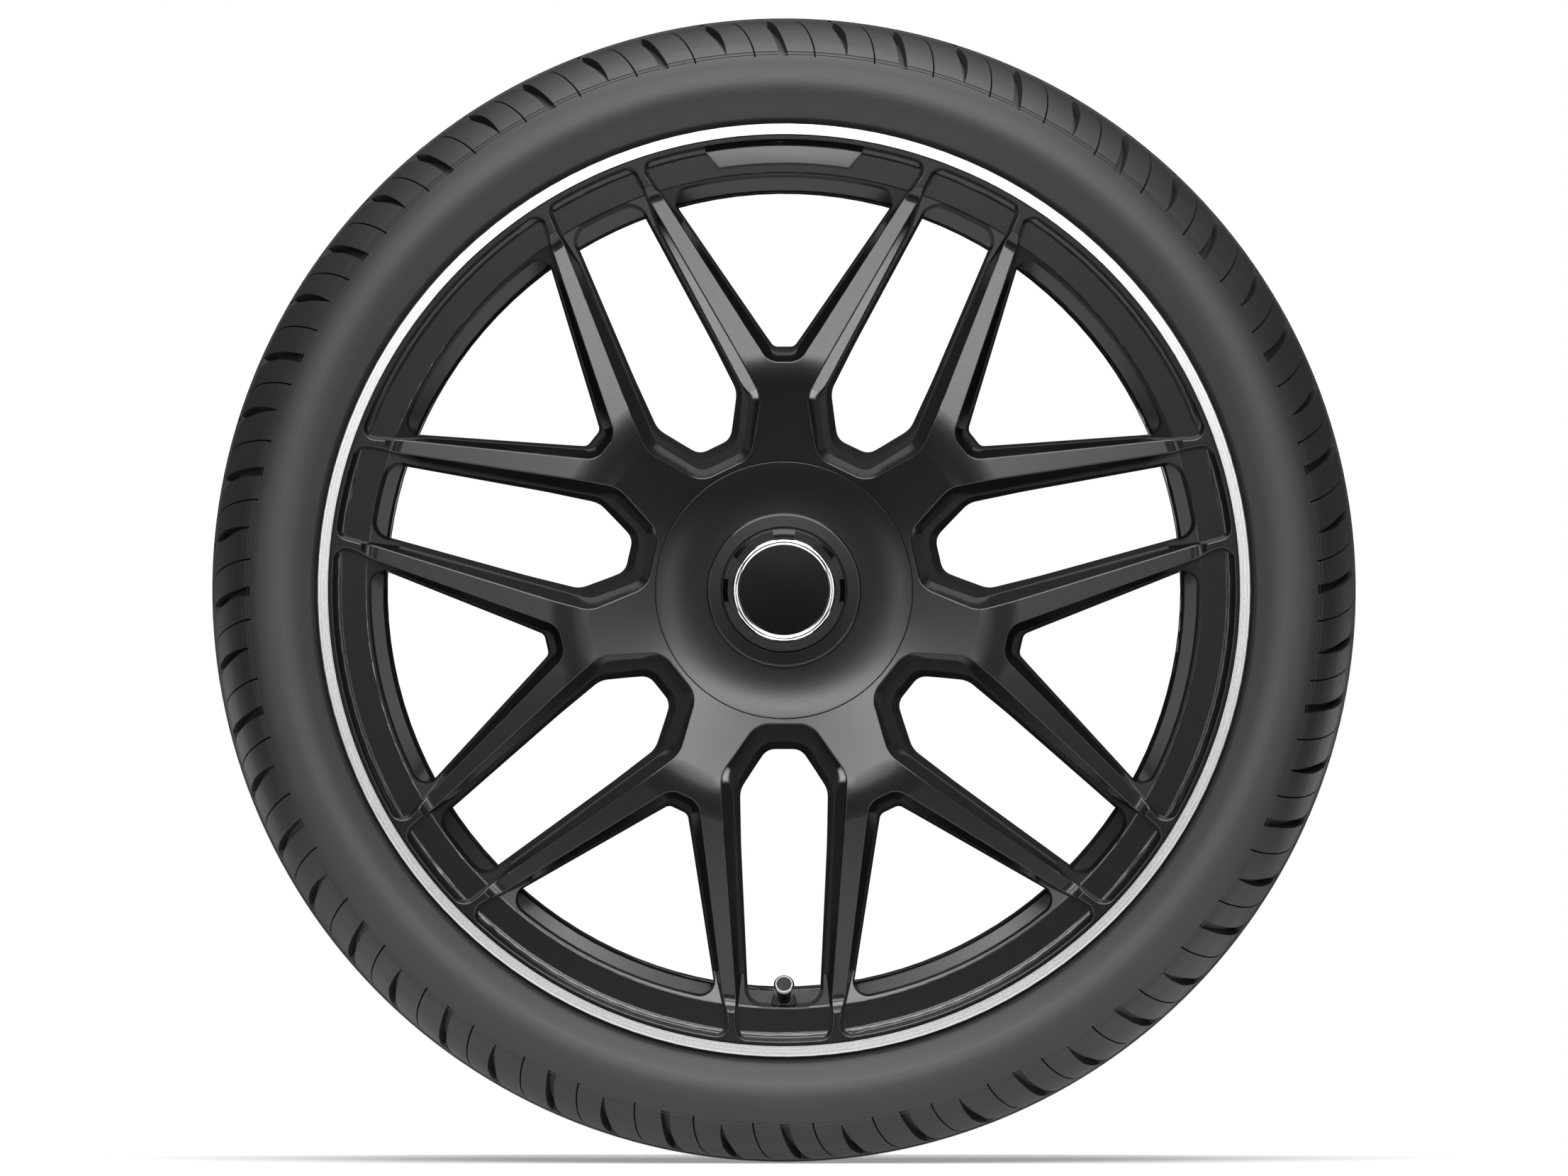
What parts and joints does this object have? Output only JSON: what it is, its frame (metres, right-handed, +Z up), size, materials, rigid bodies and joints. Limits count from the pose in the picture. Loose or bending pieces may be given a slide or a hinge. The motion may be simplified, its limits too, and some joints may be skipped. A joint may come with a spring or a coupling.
{
  "type": "forged wheel",
  "caption": "Matte-black forged car wheel with Y-shaped spokes, a turned bright lip, a low-profile tyre, a screw-on hub cover and a capped valve.",
  "frame": {"origin": "wheel centre on the spin axis, in the middle plane of the rim and tyre", "axes": "+Y along the spin axis towards the car, so the outer face looks to -Y; +Z up through a spoke, with the valve at the bottom; +X to the right seen from outside"},
  "size_m": [0.667, 0.2651, 0.6668],
  "materials": {
    "wheel_paint": "matte black paint",
    "tyre_rubber": "matte",
    "cover_plastic": "matte",
    "seal_rubber": "matte",
    "slip_plastic": "matte",
    "nut_metal": "satin dark anodised",
    "spring_steel": "brushed",
    "bright_trim": "polished",
    "gloss_black": "gloss",
    "stem_metal": "black coated",
    "core_brass": "plain",
    "cap_metal": "satin",
    "sensor_plastic": "matte",
    "weight_steel": "dark coated"
  },
  "bodies": {
    "wheel": {"spoke_centre": "wheel_paint", "rim_barrel": "wheel_paint", "tyre": "tyre_rubber", "valve_stem": "stem_metal", "valve_grommet": "seal_rubber", "valve_washer": "stem_metal", "valve_nut": "stem_metal", "valve_core": "core_brass", "valve_spring": "spring_steel", "pressure_sensor": "sensor_plastic", "sensor_screw": "spring_steel", "balance_weights": "weight_steel"},
    "cover": {"hub_cover": "cover_plastic", "cover_seal": "seal_rubber", "nut_washer": "slip_plastic"},
    "nut": {"centre_nut": "nut_metal", "nut_circlip": "spring_steel", "emblem_ring": "bright_trim", "emblem_disc": "gloss_black"},
    "cap": {"valve_cap": "cap_metal", "valve_cap_seal": "seal_rubber", "valve_cap_disc": "gloss_black"},
    "pin": {"valve_pin": "core_brass"}
  },
  "joints": [
    {"name": "cover_slide", "type": "slide", "parent": "wheel", "child": "cover", "axis": [0, -1, 0], "range_m": [0, 0.012]},
    {"name": "nut_turn", "type": "hinge", "parent": "cover", "child": "nut", "pos_m": [0, -0.12, 0], "axis": [0, -1, 0], "range_deg": [0, 2160]},
    {"name": "cap_rise", "type": "slide", "parent": "wheel", "child": "cap", "axis": [0, -0.9135, 0.4067], "range_m": [0, 0.00635]},
    {"name": "pin_press", "type": "slide", "parent": "wheel", "child": "pin", "axis": [0, 0.9135, -0.4067], "range_m": [0, 0.0015], "stiffness_N_per_m": 400, "deforming": ["valve_spring"]}
  ],
  "couplings": [
    {"joint": "cover_slide", "follows": "nut_turn", "m_per_rad": 0.00031831}
  ]
}
